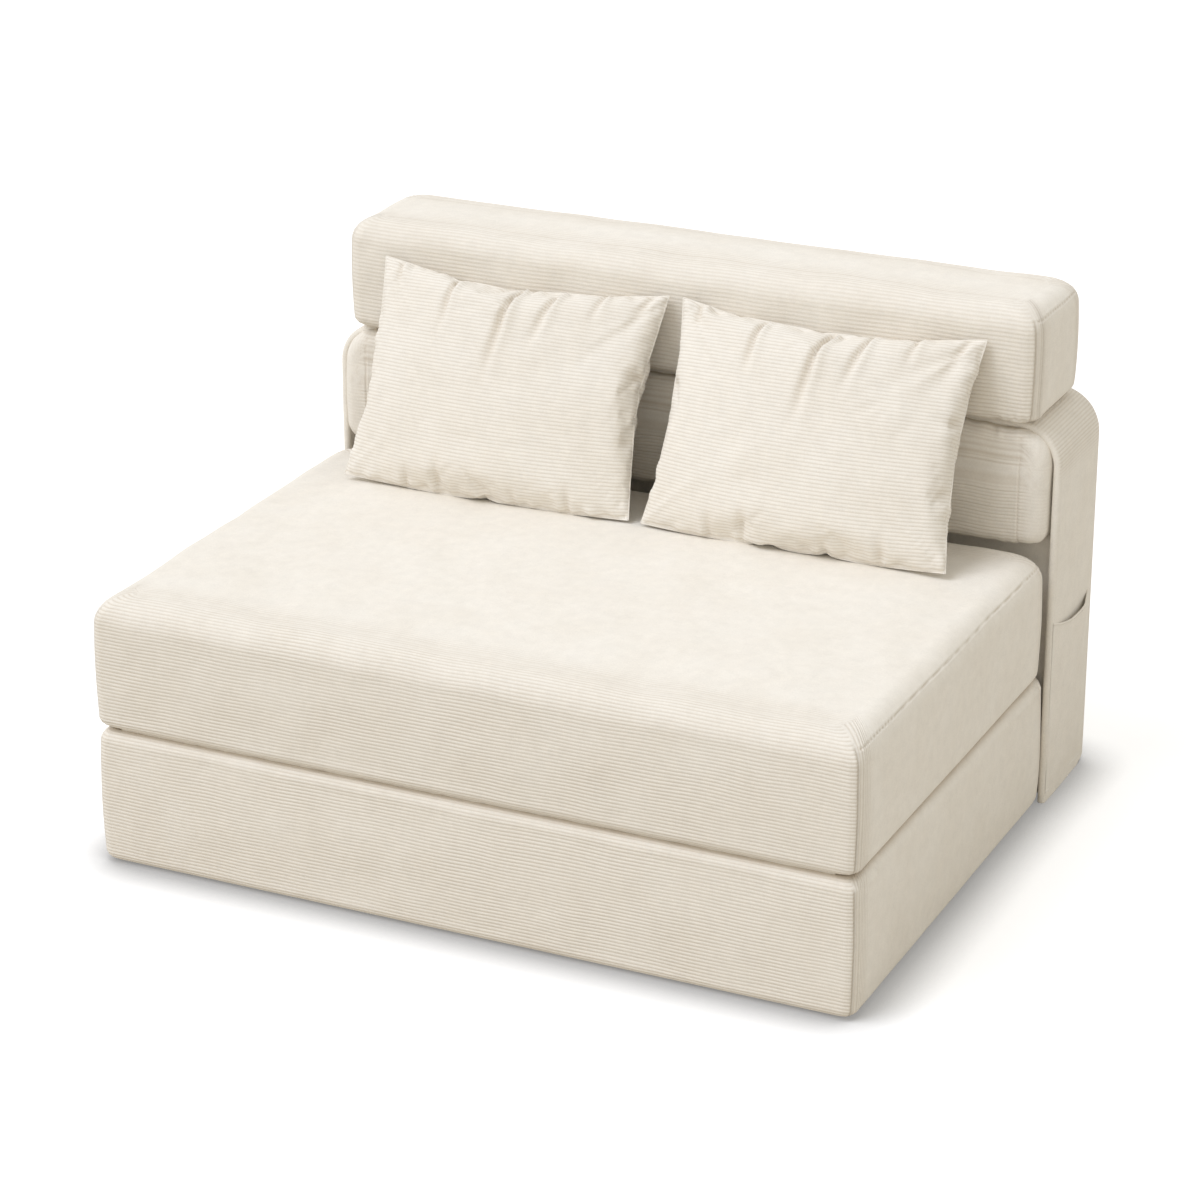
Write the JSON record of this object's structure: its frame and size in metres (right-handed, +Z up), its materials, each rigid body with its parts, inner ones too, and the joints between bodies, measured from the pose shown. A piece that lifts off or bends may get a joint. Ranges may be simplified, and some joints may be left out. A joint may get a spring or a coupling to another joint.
{
  "type": "folding sofa bed",
  "caption": "Low armless sofa whose seat block flips forward on a front crease to make a flat bed, with a padded back stand, bolster and loose pillows.",
  "frame": {"origin": "on the floor, under the middle of the whole sofa's box", "axes": "+Z up, -Y towards the front, where a person sits down, +X to the right seen from the front"},
  "size_m": [1.4344, 1.1395, 0.928],
  "materials": {
    "corduroy": "matte",
    "binding_tape": "matte",
    "nonslip_fabric": "matte",
    "hook_and_loop": "matte",
    "zip_tape": "matte",
    "zip_metal": "satin",
    "foam": "matte",
    "fibre_filling": "matte",
    "stiffener_board": "matte"
  },
  "bodies": {
    "base_and_back": {"base_cover": "corduroy", "base_foam_core": "foam", "base_comfort_layer": "foam", "base_zip": "zip_tape", "base_nonslip_panel": "nonslip_fabric", "fold_hinge_strip": "corduroy", "hood_cover": "corduroy", "hood_left_stiffener": "stiffener_board", "hood_right_stiffener": "stiffener_board", "hood_rear_stiffener": "stiffener_board", "left_pocket_panel": "corduroy", "right_pocket_panel": "corduroy", "left_pocket_binding": "binding_tape", "right_pocket_binding": "binding_tape", "back_support_cover": "corduroy", "back_support_foam": "foam", "back_cushion_cover": "corduroy", "back_cushion_front_wrap": "foam", "back_cushion_foam": "foam", "bolster_cover": "corduroy", "bolster_foam": "foam", "bolster_zip": "zip_tape", "bolster_hook_tapes": "hook_and_loop", "bolster_loop_tapes": "hook_and_loop", "base_loop_pads": "hook_and_loop", "back_hook_pads": "hook_and_loop"},
    "seat": {"seat_cover": "corduroy", "seat_foam_core": "foam", "seat_comfort_layer": "foam", "seat_zip": "zip_tape"},
    "left_pillow": {"left_pillow_cover": "corduroy", "left_pillow_filling": "fibre_filling"},
    "right_pillow": {"right_pillow_cover": "corduroy", "right_pillow_filling": "fibre_filling"},
    "base_zip_slider": {"base_zip_slider": "zip_metal"},
    "seat_zip_slider": {"seat_zip_slider": "zip_metal"},
    "bolster_zip_slider": {"bolster_zip_slider": "zip_metal"}
  },
  "joints": [
    {"name": "seat_fold", "type": "hinge", "parent": "base_and_back", "child": "seat", "pos_m": [0, -0.56885, 0.2503], "axis": [1, 0, 0], "range_deg": [0, 180]},
    {"name": "left_pillow_lift", "type": "slide", "parent": "seat", "child": "left_pillow", "axis": [0, -0.6, 0.8], "range_m": [0, 0.6]},
    {"name": "right_pillow_lift", "type": "slide", "parent": "seat", "child": "right_pillow", "axis": [0, -0.6, 0.8], "range_m": [0, 0.6]},
    {"name": "base_zip_slide", "type": "slide", "parent": "base_and_back", "child": "base_zip_slider", "axis": [1, 0, 0], "range_m": [-0.996, 0]},
    {"name": "seat_zip_slide", "type": "slide", "parent": "seat", "child": "seat_zip_slider", "axis": [1, 0, 0], "range_m": [-0.996, 0]},
    {"name": "bolster_zip_slide", "type": "slide", "parent": "base_and_back", "child": "bolster_zip_slider", "axis": [1, 0, 0], "range_m": [-0.936, 0]}
  ]
}
